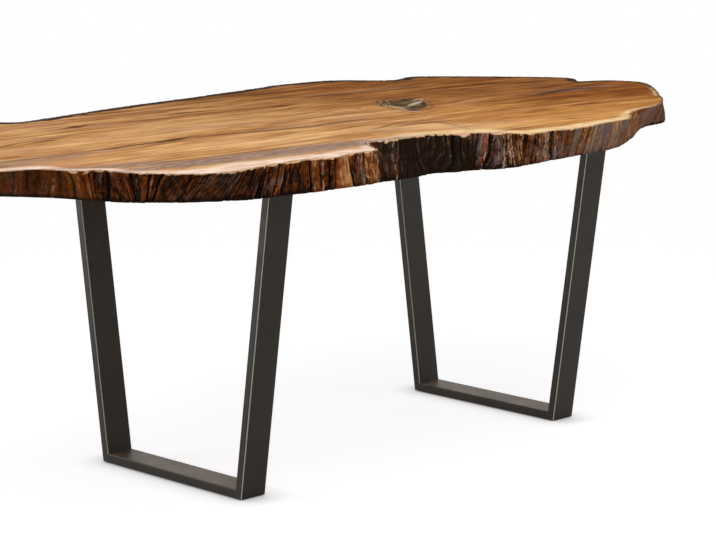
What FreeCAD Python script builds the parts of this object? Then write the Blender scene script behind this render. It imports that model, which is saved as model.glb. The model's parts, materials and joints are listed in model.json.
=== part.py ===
import FreeCAD, Part
import os

import Sketcher

# The table's sizes in millimetres and degrees. They become the cells of the size sheet.
SIZES = {
    # the natural slab
    "slab_length": 2200,
    "slab_width": 1088,
    "slab_thickness": 65,
    # the two leg frames, from the underside of the floor rail to the underside of the slab
    "frame_height": 685,
    "frame_spacing": 995,
    "frame_shift": 108,
    "foot_width": 455,
    "lean_angle": 8,
    # the flat tube that the frames are welded from
    "bar_depth": 70,
    "bar_thickness": 20,
    "bar_wall": 2,
    "bar_radius": 3,
    # the plate across the top of each frame
    "plate_depth": 100,
    "plate_thickness": 6,
    "plate_overhang": 10,
    "slot_width": 9,
    "slot_length": 22,
    # the bolts that hold each plate to the slab
    "bolt_row_spacing": 60,
    "bolt_column_spacing": 360,
    "bolt_diameter": 8,
    "bolt_length": 25,
    "bolt_head_width": 13,
    "bolt_head_height": 5.3,
    "bolt_clearance": 0.2,
    "washer_diameter": 28,
    "washer_thickness": 2,
    # the threaded inserts in the slab
    "insert_diameter": 13,
    "insert_length": 20,
    "insert_clearance": 0.1,
    "drill_room": 4,
    # the pads stuck under each floor rail
    "pad_height": 2,
    "pad_width": 56,
    "pad_length": 70,
    "pad_inset": 10,
}

# The natural edge: x and y on the top face, then x and y of the same spot on the underside.
# It runs counter-clockwise from the left end. The slab's length and width in the sheet stretch it.
NATURAL_EDGE = (
    # round the left end to the front left shoulder, undercut by the trunk's taper
    (-1100, 10, -1035, 45),
    (-1085, -95, -1015, -35),
    (-1045, -175, -970, -85),
    (-1000, -210, -935, -120),
    (-945, -225, -900, -168),
    (-918, -270, -875, -210),
    (-893, -305, -858, -255),
    (-862, -318, -843, -293),
    (-850, -375, -812, -350),
    (-812, -442, -775, -388),
    (-770, -488, -730, -425),
    # along the front left lobe to its corner
    (-690, -515, -660, -466),
    (-613, -502, -605, -488),
    (-525, -489, -522, -491),
    (-450, -496, -455, -504),
    (-415, -508, -420, -500),
    (-358, -490, -370, -503),
    (-288, -488, -300, -498),
    # the waist, cut back at the top and flaring out to the underside
    (-262, -455, -262, -495),
    (-228, -405, -228, -497),
    (-192, -385, -190, -495),
    (-148, -396, -150, -492),
    (-85, -395, -110, -485),
    (-28, -395, -75, -505),
    (5, -420, -35, -508),
    (50, -438, 5, -526),
    (85, -466, 45, -541),
    (108, -502, 85, -543),
    # along the front right lobe to the right end
    (130, -536, 125, -537),
    (195, -532, 200, -526),
    (250, -543, 245, -523),
    (330, -535, 325, -510),
    (410, -521, 405, -504),
    (490, -508, 482, -485),
    (565, -450, 560, -443),
    (650, -411, 640, -397),
    (752, -386, 725, -340),
    (842, -328, 815, -297),
    (898, -266, 900, -278),
    (964, -207, 965, -222),
    (1043, -125, 1035, -135),
    (1092, -62, 1072, -62),
    (1098, -15, 1072, -10),
    (1078, 32, 1055, 30),
    # the notch in the right end
    (1035, 60, 1020, 52),
    (1003, 75, 995, 78),
    (1040, 122, 1025, 118),
    (1030, 188, 1010, 180),
    (950, 292, 930, 280),
    (865, 382, 850, 365),
    (808, 436, 795, 420),
    (768, 446, 760, 432),
    # the notch at the back and the long back edge
    (700, 424, 698, 420),
    (655, 452, 650, 440),
    (610, 500, 605, 480),
    (560, 533, 555, 515),
    (460, 544, 458, 530),
    (380, 540, 380, 535),
    (295, 521, 300, 525),
    (215, 509, 218, 515),
    (70, 486, 70, 490),
    (-65, 470, -62, 462),
    (-205, 447, -205, 435),
    (-345, 418, -342, 405),
    (-470, 390, -470, 385),
    (-525, 393, -525, 390),
    # the back left lobe
    (-560, 430, -560, 415),
    (-640, 455, -640, 435),
    (-745, 447, -740, 425),
    (-850, 405, -835, 378),
    (-950, 328, -920, 300),
    (-1035, 222, -990, 205),
    (-1085, 115, -1030, 125),
)

FRAME_SIDES = {"left": -1, "right": 1}
POST_SIDES = {"front": -1, "rear": 1}
BOLT_ROWS = (-1, 1)
BOLT_COLUMNS = (-1, 1)

# Places and sizes that several pieces share, as expressions on the sheet.
UNDERSIDE = "(Sizes.pad_height + Sizes.frame_height)"
TOP = f"({UNDERSIDE} + Sizes.slab_thickness)"
POST_HEIGHT = "(Sizes.frame_height - Sizes.plate_thickness)"
POST_LENGTH = f"({POST_HEIGHT} / cos(Sizes.lean_angle))"
POST_SPAN = f"(Sizes.foot_width + 2 * {POST_HEIGHT} * tan(Sizes.lean_angle))"
MITRE_RUN = "(Sizes.bar_thickness / tan((90 + Sizes.lean_angle) / 2))"
TOP_RUN = "(Sizes.bar_thickness * tan(Sizes.lean_angle))"
FIRST_BOLT_X = "(-Sizes.bolt_row_spacing / 2)"
FIRST_BOLT_Y = "(-Sizes.bolt_column_spacing / 2)"

doc = FreeCAD.newDocument("live_edge_dining_table")
sheet = doc.addObject("Spreadsheet::Sheet", "Sizes")
for row, (name, size) in enumerate(SIZES.items(), start=1):
    sheet.set(f"A{row}", name)
    sheet.set(f"B{row}", str(size))
    sheet.setAlias(f"B{row}", name)
doc.recompute()


def value(expression):
    """The number that an expression on the sheet gives."""
    return float(sheet.evalExpression(expression))


def frame_x(side):
    """Where the middle of a leg frame stands along the slab."""
    return f"(Sizes.frame_shift + {FRAME_SIDES[side]} * Sizes.frame_spacing / 2)"


def new_body(label):
    body = doc.addObject("PartDesign::Body", label)
    body.Label = label
    return body


def origin_feature(body, role):
    """One of the body's own origin planes or axes."""
    return next(feature for feature in body.Origin.OriginFeatures if feature.Role == role)


def new_sketch(body, name, role, **offset):
    """A sketch on one of the body's origin planes, moved by the expressions in offset."""
    sketch = body.newObject("Sketcher::SketchObject", name)
    sketch.AttachmentSupport = [(origin_feature(body, role), "")]
    sketch.MapMode = "FlatFace"
    for axis, expression in offset.items():
        sketch.setExpression(f"AttachmentOffset.Base.{axis}", expression)
    return sketch


def bind(sketch, constraint, expression):
    """Adds a constraint whose size is an expression on the sheet."""
    index = sketch.addConstraint(constraint)
    sketch.setExpression(f"Constraints[{index}]", expression)


def hold_point(sketch, geometry, point, x, y):
    """Fixes a point of the sketch at two expressions from its origin."""
    bind(sketch, Sketcher.Constraint("DistanceX", -1, 1, geometry, point, value(x)), x)
    bind(sketch, Sketcher.Constraint("DistanceY", -1, 1, geometry, point, value(y)), y)


def polygon(sketch, corners):
    """A closed outline of straight lines with every corner held."""
    first = sketch.GeometryCount
    count = len(corners)
    at = [FreeCAD.Vector(value(x), value(y)) for x, y in corners]
    for i in range(count):
        sketch.addGeometry(Part.LineSegment(at[i], at[(i + 1) % count]))
    for i in range(count):
        following = first + (i + 1) % count
        sketch.addConstraint(Sketcher.Constraint("Coincident", first + i, 2, following, 1))
        hold_point(sketch, first + i, 1, *corners[i])


def rectangle(sketch, left, right, low, high):
    polygon(sketch, ((left, low), (right, low), (right, high), (left, high)))


def circle(sketch, x, y, diameter):
    centre = FreeCAD.Vector(value(x), value(y))
    upright = FreeCAD.Vector(0, 0, 1)
    index = sketch.addGeometry(Part.Circle(centre, upright, value(diameter) / 2))
    hold_point(sketch, index, 3, x, y)
    bind(sketch, Sketcher.Constraint("Diameter", index, value(diameter)), diameter)


def slot(sketch, x, y, width, length):
    """A slot with round ends that runs along the sketch's y axis."""
    ends = (f"{y} + ({length} - {width}) / 2", f"{y} - ({length} - {width}) / 2")
    half = value(width) / 2
    upright = FreeCAD.Vector(0, 0, 1)
    far, near = (FreeCAD.Vector(value(x), value(end)) for end in ends)
    out = FreeCAD.Vector(half, 0)
    half_turn = FreeCAD.Units.Quantity("180 deg").getValueAs("rad").Value
    far_arc = sketch.addGeometry(Part.ArcOfCircle(Part.Circle(far, upright, half), 0, half_turn))
    near_arc = sketch.addGeometry(
        Part.ArcOfCircle(Part.Circle(near, upright, half), half_turn, 2 * half_turn)
    )
    left = sketch.addGeometry(Part.LineSegment(far - out, near - out))
    right = sketch.addGeometry(Part.LineSegment(near + out, far + out))
    loop = (far_arc, left, near_arc, right)
    for i, piece in enumerate(loop):
        sketch.addConstraint(Sketcher.Constraint("Tangent", piece, 2, loop[(i + 1) % len(loop)], 1))
    sketch.addConstraint(Sketcher.Constraint("Equal", far_arc, near_arc))
    hold_point(sketch, far_arc, 3, x, ends[0])
    hold_point(sketch, near_arc, 3, x, ends[1])
    bind(sketch, Sketcher.Constraint("Diameter", far_arc, value(width)), width)


def pad(body, sketch, length, symmetric=False, downward=False):
    feature = body.newObject("PartDesign::Pad", sketch.Name + "Pad")
    feature.Profile = sketch
    feature.setExpression("Length", length)
    feature.SideType = "Symmetric" if symmetric else "One side"
    feature.Reversed = downward
    return feature


def cut_upward(body, sketch, depth):
    """Cuts the sketch into the solid above it."""
    feature = body.newObject("PartDesign::Pocket", sketch.Name + "Pocket")
    feature.Profile = sketch
    feature.setExpression("Length", depth)
    feature.Reversed = True
    return feature


def cut_through(body, sketch):
    """Cuts the sketch through the whole solid on both sides of its plane."""
    feature = body.newObject("PartDesign::Pocket", sketch.Name + "Pocket")
    feature.Profile = sketch
    feature.SideType = "Symmetric"
    feature.Type = "ThroughAll"
    return feature


def bolt_grid(body, originals):
    """Repeats what stands at the first bolt at every bolt of one frame."""
    pattern = body.newObject("PartDesign::LinearPattern", "BoltGrid")
    pattern.Originals = originals
    pattern.Direction = (origin_feature(body, "X_Axis"), [""])
    pattern.setExpression("Length", "Sizes.bolt_row_spacing")
    pattern.Occurrences = len(BOLT_ROWS)
    pattern.Direction2 = (origin_feature(body, "Y_Axis"), [""])
    pattern.setExpression("Length2", "Sizes.bolt_column_spacing")
    pattern.Occurrences2 = len(BOLT_COLUMNS)
    body.Tip = pattern


def tube_section(sketch, low, high):
    """The flat tube's section: a rectangle with the bore inside it."""
    half = "Sizes.bar_depth / 2"
    wall = "Sizes.bar_wall"
    rectangle(sketch, f"-{half}", half, low, high)
    rectangle(sketch, f"-{half} + {wall}", f"{half} - {wall}", f"{low} + {wall}", f"{high} - {wall}")


def round_outer_arrises(body, feature, along):
    """Rounds the four outer long edges of a tube that runs along the given axis."""
    doc.recompute()
    reach = value("Sizes.bar_depth / 2")
    names = []
    for index, edge in enumerate(feature.Shape.Edges, start=1):
        lengthwise = abs(edge.tangentAt(edge.FirstParameter).dot(along)) > 0.99
        if lengthwise and abs(abs(edge.CenterOfMass.x) - reach) < value("Sizes.bar_wall / 2"):
            names.append(f"Edge{index}")
    fillet = body.newObject("PartDesign::Fillet", "Arrises")
    fillet.Base = (feature, names)
    fillet.setExpression("Radius", "Sizes.bar_radius")


def closed_curve(points, pace):
    """A smooth closed curve through the points, which it reaches at the given pace."""
    curve = Part.BSplineCurve()
    curve.interpolate(Points=points, PeriodicFlag=True, Parameters=pace)
    return curve


def edge_pace(points):
    """The curve parameter of each point: the square root of its spacing keeps notches from overshooting."""
    pace = [0.0]
    for start, end in zip(points, points[1:] + points[:1]):
        pace.append(pace[-1] + start.distanceToPoint(end) ** 0.5)
    return pace


def natural_edges():
    """The slab's outline on the underside and on the top, at the sheet's length and width."""
    top = [FreeCAD.Vector(x, y) for x, y, _, _ in NATURAL_EDGE]
    under = [FreeCAD.Vector(x, y) for _, _, x, y in NATURAL_EDGE]
    pace = edge_pace(top)
    drawn = Part.makeCompound([closed_curve(points, pace).toShape() for points in (top, under)])
    box = drawn.optimalBoundingBox(False, False)
    stretch_x = value("Sizes.slab_length") / box.XLength
    stretch_y = value("Sizes.slab_width") / box.YLength

    def fitted(point):
        return FreeCAD.Vector((point.x - box.Center.x) * stretch_x, (point.y - box.Center.y) * stretch_y)

    return [closed_curve([fitted(point) for point in points], pace) for points in (under, top)]


def make_slab():
    """The slab: its two outlines lofted into the natural edge, with blind holes for the inserts."""
    body = new_body("slab_top")
    outlines = []
    for name, curve, height in zip(("Underside", "TopFace"), natural_edges(), (UNDERSIDE, TOP)):
        sketch = new_sketch(body, name, "XY_Plane", z=height)
        sketch.addConstraint(Sketcher.Constraint("Block", sketch.addGeometry(curve)))
        outlines.append(sketch)
    loft = body.newObject("PartDesign::AdditiveLoft", "NaturalEdge")
    loft.Profile = outlines[0]
    loft.Sections = outlines[1:]
    loft.Ruled = True
    holes = new_sketch(body, "InsertHoles", "XY_Plane", z=UNDERSIDE)
    for side in FRAME_SIDES:
        for row in BOLT_ROWS:
            for column in BOLT_COLUMNS:
                x = f"{frame_x(side)} + {row} * Sizes.bolt_row_spacing / 2"
                y = f"{column} * Sizes.bolt_column_spacing / 2"
                circle(holes, x, y, "Sizes.insert_diameter + 2 * Sizes.insert_clearance")
    cut_upward(body, holes, "Sizes.insert_length + Sizes.drill_room")
    return body


def make_post(side, end):
    """A leaning tube, mitred to the floor rail at its foot and cut level under the plate."""
    out = POST_SIDES[end]
    body = new_body(f"{side}_{end}_post")
    section = new_sketch(body, "Section", "XY_Plane")
    inner = "-Sizes.bar_thickness" if out > 0 else "0"
    outer = "0" if out > 0 else "Sizes.bar_thickness"
    tube_section(section, inner, outer)
    tube = pad(body, section, POST_LENGTH)
    round_outer_arrises(body, tube, FreeCAD.Vector(0, 0, 1))
    ends = new_sketch(body, "Ends", "YZ_Plane")
    clear_of_outer = f"{out} * Sizes.bar_thickness"
    clear_of_inner = f"{-out} * 2 * Sizes.bar_thickness"
    foot = f"-{MITRE_RUN}"
    polygon(ends, ((clear_of_outer, foot), (clear_of_inner, f"2 * {MITRE_RUN}"), (clear_of_inner, foot)))
    head = f"{POST_LENGTH} + {TOP_RUN}"
    low_head = f"{POST_LENGTH} - 2 * {TOP_RUN}"
    polygon(ends, ((clear_of_outer, head), (clear_of_inner, low_head), (clear_of_inner, head)))
    cut_through(body, ends)
    body.Placement.Rotation = FreeCAD.Rotation(FreeCAD.Vector(1, 0, 0), -out * value("Sizes.lean_angle"))
    body.setExpression("Placement.Rotation.Angle", f"{-out} * Sizes.lean_angle")
    body.setExpression("Placement.Base.x", frame_x(side))
    body.setExpression("Placement.Base.y", f"{out} * Sizes.foot_width / 2")
    body.setExpression("Placement.Base.z", "Sizes.pad_height")
    return body


def make_floor_rail(side):
    """The tube along the floor, mitred to both posts."""
    body = new_body(f"{side}_floor_rail")
    section = new_sketch(body, "Section", "XZ_Plane")
    tube_section(section, "0", "Sizes.bar_thickness")
    tube = pad(body, section, "Sizes.foot_width", symmetric=True)
    round_outer_arrises(body, tube, FreeCAD.Vector(0, 1, 0))
    ends = new_sketch(body, "Ends", "YZ_Plane")
    below = "-Sizes.bar_thickness"
    above = "2 * Sizes.bar_thickness"
    for out in POST_SIDES.values():
        beyond = f"{out} * (Sizes.foot_width / 2 + {MITRE_RUN})"
        within = f"{out} * (Sizes.foot_width / 2 - 2 * {MITRE_RUN})"
        polygon(ends, ((beyond, below), (within, above), (beyond, above)))
    cut_through(body, ends)
    body.setExpression("Placement.Base.x", frame_x(side))
    body.setExpression("Placement.Base.z", "Sizes.pad_height")
    return body


def make_mounting_plate(side):
    """The flat plate over both posts, with slots that let the slab move across its grain."""
    body = new_body(f"{side}_mounting_plate")
    outline = new_sketch(body, "Outline", "XY_Plane")
    half_depth = "Sizes.plate_depth / 2"
    half_length = f"({POST_SPAN} / 2 + Sizes.plate_overhang)"
    rectangle(outline, f"-{half_depth}", half_depth, f"-{half_length}", half_length)
    pad(body, outline, "Sizes.plate_thickness")
    slots = new_sketch(body, "Slot", "XY_Plane")
    slot(slots, FIRST_BOLT_X, FIRST_BOLT_Y, "Sizes.slot_width", "Sizes.slot_length")
    bolt_grid(body, [cut_through(body, slots)])
    body.setExpression("Placement.Base.x", frame_x(side))
    body.setExpression("Placement.Base.z", f"{UNDERSIDE} - Sizes.plate_thickness")
    return body


def make_bolts(side):
    """The hex bolts of one frame, heads down under the washers."""
    body = new_body(f"{side}_bolts")
    head = new_sketch(body, "Head", "XY_Plane")
    corner = "Sizes.bolt_head_width / 2 / cos(30)"
    corners = [
        (f"{FIRST_BOLT_X} + {corner} * cos({turn})", f"{FIRST_BOLT_Y} + {corner} * sin({turn})")
        for turn in range(0, 360, 60)
    ]
    polygon(head, corners)
    head_pad = pad(body, head, "Sizes.bolt_head_height", downward=True)
    shank = new_sketch(body, "Shank", "XY_Plane")
    circle(shank, FIRST_BOLT_X, FIRST_BOLT_Y, "Sizes.bolt_diameter")
    shank_pad = pad(body, shank, "Sizes.bolt_length")
    bolt_grid(body, [head_pad, shank_pad])
    body.setExpression("Placement.Base.x", frame_x(side))
    body.setExpression("Placement.Base.z", f"{UNDERSIDE} - Sizes.plate_thickness - Sizes.washer_thickness")
    return body


def make_washers(side):
    """The wide washers between the bolt heads and the slots."""
    body = new_body(f"{side}_washers")
    ring = new_sketch(body, "Ring", "XY_Plane")
    circle(ring, FIRST_BOLT_X, FIRST_BOLT_Y, "Sizes.washer_diameter")
    circle(ring, FIRST_BOLT_X, FIRST_BOLT_Y, "Sizes.bolt_diameter + 2 * Sizes.bolt_clearance")
    bolt_grid(body, [pad(body, ring, "Sizes.washer_thickness")])
    body.setExpression("Placement.Base.x", frame_x(side))
    body.setExpression("Placement.Base.z", f"{UNDERSIDE} - Sizes.plate_thickness - Sizes.washer_thickness")
    return body


def make_inserts(side):
    """The threaded sleeves in the slab, flush with its underside and seated on the plate."""
    body = new_body(f"{side}_inserts")
    ring = new_sketch(body, "Ring", "XY_Plane")
    circle(ring, FIRST_BOLT_X, FIRST_BOLT_Y, "Sizes.insert_diameter")
    circle(ring, FIRST_BOLT_X, FIRST_BOLT_Y, "Sizes.bolt_diameter + 2 * Sizes.bolt_clearance")
    bolt_grid(body, [pad(body, ring, "Sizes.insert_length")])
    body.setExpression("Placement.Base.x", frame_x(side))
    body.setExpression("Placement.Base.z", UNDERSIDE)
    return body


def make_floor_pads(side):
    """The two pads under a floor rail, one near each end."""
    body = new_body(f"{side}_floor_pads")
    outline = new_sketch(body, "Outline", "XY_Plane")
    half_width = "Sizes.pad_width / 2"
    for out in POST_SIDES.values():
        outer = f"{out} * (Sizes.foot_width / 2 - Sizes.pad_inset)"
        inner = f"{out} * (Sizes.foot_width / 2 - Sizes.pad_inset - Sizes.pad_length)"
        rectangle(outline, f"-{half_width}", half_width, inner, outer)
    pad(body, outline, "Sizes.pad_height")
    body.setExpression("Placement.Base.x", frame_x(side))
    return body


pieces = [make_slab()]
for frame_side in FRAME_SIDES:
    for post_end in POST_SIDES:
        pieces.append(make_post(frame_side, post_end))
    for make_piece in (
        make_floor_rail,
        make_mounting_plate,
        make_bolts,
        make_washers,
        make_inserts,
        make_floor_pads,
    ):
        pieces.append(make_piece(frame_side))
doc.recompute()

for item in doc.Objects:
    if "Invalid" in item.State or "Error" in item.State:
        raise RuntimeError(f"{item.Label} did not rebuild")
for piece in pieces:
    if piece.Shape.isNull() or not piece.Shape.isValid():
        raise RuntimeError(f"{piece.Label} has no valid solid")

os.makedirs("parts", exist_ok=True)
for piece in pieces:
    piece.Shape.exportStep(f"parts/{piece.Label}.step")
    print(piece.Label, len(piece.Shape.Solids), "solids", round(piece.Shape.Volume), "mm3")
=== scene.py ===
"""Live edge dining table: a natural slab with its bark on, over two leaning frames of flat steel tube."""

import json
import math
from functools import partial
from types import SimpleNamespace

import bpy
import numpy as np
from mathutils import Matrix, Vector
from mathutils.geometry import delaunay_2d_cdt
from mathutils.kdtree import KDTree


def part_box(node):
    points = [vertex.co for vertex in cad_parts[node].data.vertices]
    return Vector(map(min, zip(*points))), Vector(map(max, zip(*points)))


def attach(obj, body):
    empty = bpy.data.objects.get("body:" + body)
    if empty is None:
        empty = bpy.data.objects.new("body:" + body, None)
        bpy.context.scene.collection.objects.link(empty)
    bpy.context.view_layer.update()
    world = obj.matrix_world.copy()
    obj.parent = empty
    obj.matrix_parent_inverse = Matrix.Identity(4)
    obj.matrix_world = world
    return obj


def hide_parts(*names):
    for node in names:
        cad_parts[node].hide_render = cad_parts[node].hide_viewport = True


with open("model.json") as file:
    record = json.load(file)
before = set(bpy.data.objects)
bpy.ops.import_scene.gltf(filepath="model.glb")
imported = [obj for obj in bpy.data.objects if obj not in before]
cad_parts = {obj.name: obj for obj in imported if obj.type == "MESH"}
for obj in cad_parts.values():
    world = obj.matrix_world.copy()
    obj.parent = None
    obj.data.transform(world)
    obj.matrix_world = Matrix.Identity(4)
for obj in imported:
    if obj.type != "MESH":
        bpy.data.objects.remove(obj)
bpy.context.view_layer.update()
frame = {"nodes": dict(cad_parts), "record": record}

# The camera, as solved from the edges of the two equal leg frames
IMAGE_WIDTH = 716
FOCAL_PIXELS = 2532.5
SENSOR_WIDTH = 36.0
CAMERA_PLACE = (-3.8622, -4.0389, 1.4233)
CAMERA_YAW = math.radians(44.787)
CAMERA_PITCH = math.radians(10.3)

# The slab's mesh: steps and margins in metres, blurs in steps along the edge
EDGE_STEP = 0.0016
BARK_ROWS = 26
LIP_ROWS = 8
LIP_ROOM = 0.012
RIM_ROUND = 0.0015
TOP_STEP = (0.008, 0.004)
KNOT_STEP = 0.0025
UNDER_STEP = 0.02
RIM_MARGIN = 0.003
BORE_ROOM = 1.2
OUTLINE_BLUR = 3
NORMAL_BLUR = 5
SHARP_ANGLE = math.radians(60.0)
UNIT_SQUARE = ((-1, -1), (1, -1), (1, 1), (-1, 1))

# Reading the CAD's flat faces, and filling them with triangles again
SIDE_UP, SIDE_DOWN = 1, -1
LEVEL_NORMAL = 0.99
LEVEL_GAP = 1e-4
SPOT_DIGITS = 5
INSIDE_WITH_HOLES = 4
WELD_GAP = 1e-7

# The mixing numbers of the repeatable noise
HASH_STEPS = (374761393, 668265263, 974634777)
HASH_STIRS = ((13, 1274126177), (15, 2246822519))
HASH_MASK = 0xFFFFFFFF
SHORT_MASK = 0xFFFF

# Bark along the edge, counted from the right tip round the back: place, roughness, warmth, lightness, lean
BARK_STATIONS = (
    (0.0, 0.6, 0.3, 0.34, 0.1), (0.6, 0.9, 0.4, 0.2, -0.1), (1.2, 1.0, 0.6, 0.25, 0.15),
    (1.9, 0.9, 0.5, 0.18, -0.15), (2.5, 0.9, 0.7, 0.24, 0.1), (3.0, 0.3, 1.0, 0.17, 0.48),
    (3.23, 0.3, 1.0, 0.17, 0.48), (3.245, 0.6, 0.9, 0.28, 0.22), (3.275, 0.7, 0.9, 0.26, 0.16),
    (3.29, 0.8, 0.8, 0.1, 0.22), (3.325, 0.9, 0.8, 0.02, 0.2), (3.34, 0.9, 0.9, 0.28, -0.12),
    (3.36, 0.9, 0.9, 0.26, -0.15), (3.38, 1.0, 0.8, 0.1, 0.0), (3.42, 1.0, 0.9, 0.2, 0.25),
    (3.45, 1.1, 0.8, 0.08, 0.45), (3.55, 1.1, 0.6, 0.04, 0.5), (3.65, 1.1, 0.7, 0.05, 0.35),
    (3.695, 1.1, 0.8, 0.12, 0.2), (3.715, 1.0, 0.8, 0.24, 0.2), (3.74, 1.2, 0.8, 0.1, 0.2),
    (3.805, 1.2, 0.8, 0.12, 0.1), (3.815, 0.8, 1.0, 0.34, 0.05), (3.835, 0.8, 1.0, 0.34, 0.0),
    (3.842, 1.0, 0.8, 0.12, 0.0), (3.864, 0.9, 0.8, 0.16, -0.05), (3.874, 0.5, 1.0, 0.45, -0.15),
    (3.888, 0.3, 1.0, 0.67, -0.2), (3.915, 0.3, 1.0, 0.78, -0.15), (3.922, 0.9, 0.7, 0.12, -0.1),
    (3.94, 1.0, 0.7, 0.18, -0.05), (3.95, 1.0, 0.8, 0.36, 0.0), (3.975, 0.9, 0.8, 0.48, 0.0),
    (4.0, 0.7, 0.9, 0.56, 0.05), (4.012, 0.9, 0.6, -0.02, 1.2), (4.06, 1.1, 0.6, -0.03, 1.7),
    (4.15, 1.0, 0.5, -0.05, 1.7), (4.2, 0.8, 0.3, -0.08, 1.65), (4.35, 0.8, 0.2, -0.08, 0.9),
    (4.4, 1.0, 0.4, 0.06, 0.75), (4.416, 0.9, 0.6, 0.13, 0.75), (4.436, 0.9, 0.5, 0.15, 0.85),
    (4.45, 1.2, 0.4, 0.18, 0.95), (4.468, 1.0, 0.6, 0.38, 0.9), (4.505, 1.0, 0.6, 0.4, 0.75),
    (4.52, 1.1, 0.5, 0.33, 0.45), (4.55, 1.0, 0.6, 0.38, 0.1), (4.588, 0.9, 0.6, 0.46, -0.05),
    (4.61, 0.9, 0.5, 0.32, -0.1), (4.66, 0.6, 0.5, 0.36, -0.1), (4.675, 0.5, 0.0, 0.44, -0.1),
    (4.7, 0.6, 0.7, 0.48, -0.1), (4.725, 0.6, 0.6, 0.38, -0.05), (4.745, 0.4, 0.0, 0.44, -0.05),
    (4.8, 0.4, 0.1, 0.46, -0.1), (4.83, 0.5, 0.5, 0.54, -0.1), (4.86, 0.4, 0.0, 0.56, -0.1),
    (4.89, 0.5, 0.3, 0.44, 0.0), (5.0, 0.6, 0.6, 0.42, 0.15), (5.15, 0.5, 0.5, 0.38, 0.1),
    (5.21, 0.3, 0.4, 0.32, 0.1), (5.33, 0.3, 0.4, 0.26, 0.1), (5.45, 0.4, 0.3, 0.36, 0.2),
    (5.7, 0.6, 0.3, 0.34, 0.1),
)
# Thin pale seams between the dark plates: place, half width and strength
PALE_SEAMS = (
    (3.196, 0.0012, 0.5), (3.835, 0.0009, 1.0), (3.914, 0.001, 1.0), (4.0, 0.0012, 1.0),
    (4.14, 0.001, 0.7), (4.397, 0.0007, 0.9), (4.408, 0.0008, 1.0), (4.44, 0.001, 1.0),
    (4.445, 0.0009, 1.0), (4.452, 0.0011, 1.0), (4.46, 0.001, 1.0), (4.588, 0.0008, 0.9),
)
SEAM_FRAY = 0.0050
SEAM_BREAK = (0.36, 0.58)
# Deep cracks that show in the picture: place, half width and depth
MARKED_CRACKS = (
    (3.145, 0.0016, 0.004), (3.237, 0.0018, 0.005), (3.288, 0.0026, 0.007), (3.318, 0.005, 0.007),
    (3.413, 0.0026, 0.009), (3.69, 0.0024, 0.008), (3.738, 0.003, 0.009), (3.806, 0.003, 0.009),
    (3.866, 0.0016, 0.004), (3.92, 0.0022, 0.008), (3.942, 0.0014, 0.004), (3.962, 0.0012, 0.004),
    (4.008, 0.0024, 0.008), (4.33, 0.005, 0.008), (4.39, 0.002, 0.007), (4.413, 0.0022, 0.009),
    (4.446, 0.0022, 0.008), (4.51, 0.0022, 0.008), (4.548, 0.0024, 0.008), (4.6, 0.0028, 0.01),
    (4.665, 0.0014, 0.005), (4.73, 0.0022, 0.007),
)
# Cracks drawn between them: least and most gap, depth and half width, and a stretch that has none
CRACK_GAP = (0.005, 0.040)
CRACK_DEPTH = (0.0006, 0.0070)
CRACK_WIDTH = (0.0008, 0.0026)
MARKED_ROOM = 0.005
SMOOTH_BLOCK = (3.874, 3.916)
# How far cracks wander, and their least share of depth with what noise adds to it
CRACK_SWAY = 0.003
CRACK_JITTER = 0.0022
CRACK_FILL = (0.10, 1.3)
BARK_SEED = 11
PLATE_SEED = BARK_SEED + 1
TOOTH_SEED = BARK_SEED + 2
# Depths of the bark's relief, in metres
BARK_PROUD = 0.0080
PLATE_DEPTH = 0.0030
CROWN_DEPTH = 0.0016
FIBRE_DEPTH = 0.0020
FIBRE_SHARES = (0.7, 0.3)
FLAKE_DEPTH = 0.0024
FLAKE_LEVELS = 4
FLAKE_SHIFT = (17.0, 5.0)
SWELL_DEPTH = 0.0030
FOOT_ROUND = (0.006, 0.0016)
# Hollows where the material paints shade and crests where it paints light: the stretch they are judged
# against, and a full one's depth
HOLLOW_WIDTH = 0.0060
HOLLOW_DEPTH = 0.0024
# The upper lip, where bark has chipped off the wood: least and most height, unevenness and sink
LIP_DEPTH = (0.0002, 0.0120)
LIP_POWER = 1.4
LIP_EDGE = (1.0, 0.7)
LIP_SINK = 0.0014
# A torn lip, a wall that stands out and an upper rim worn round: place, half width and depth
TORN_LIP = (3.262, 0.022, 0.008)
TORN_BREAK = (0.3, 0.7)
WALL_BULGE = (5.37, 0.07, 0.0050)
WORN_RIM = (5.26, 0.06, 0.0085)
WORN_FROM = 0.45
# How much plates differ in lightness and warmth, and the shade at the foot
PLATE_TONE = (0.22, 0.10)
PLATE_TONE_LEAST = 0.4
PLATE_HUE = 0.4
FOOT_SHADE = (0.014, 0.24)
# Noises round the edge: lump along it and up it in metres, seed
SWAY_LUMPS = (0.030, 0.022, 1)
FILL_LUMPS = (0.004, 0.024, 2)
FLAKE_LUMPS = (0.010, 0.014, 3)
FIBRE_LUMPS = (0.0045, 0.030, 4)
FINE_LUMPS = (0.0085, 0.012, 5)
SWELL_LUMPS = (0.11, 0.09, 6)
FOOT_LUMPS = (0.02, 1.0, 7)
SMALL_CHIP_LUMPS = (0.007, 1.0, 8)
LARGE_CHIP_LUMPS = (0.024, 1.0, 9)
JITTER_LUMPS = (0.008, 0.006, 10)
TORN_LUMPS = (0.009, 0.008, 11)
SEAM_LUMPS = (0.007, 0.007, 12)
FRAY_LUMPS = (0.005, 0.005, 13)

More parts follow.
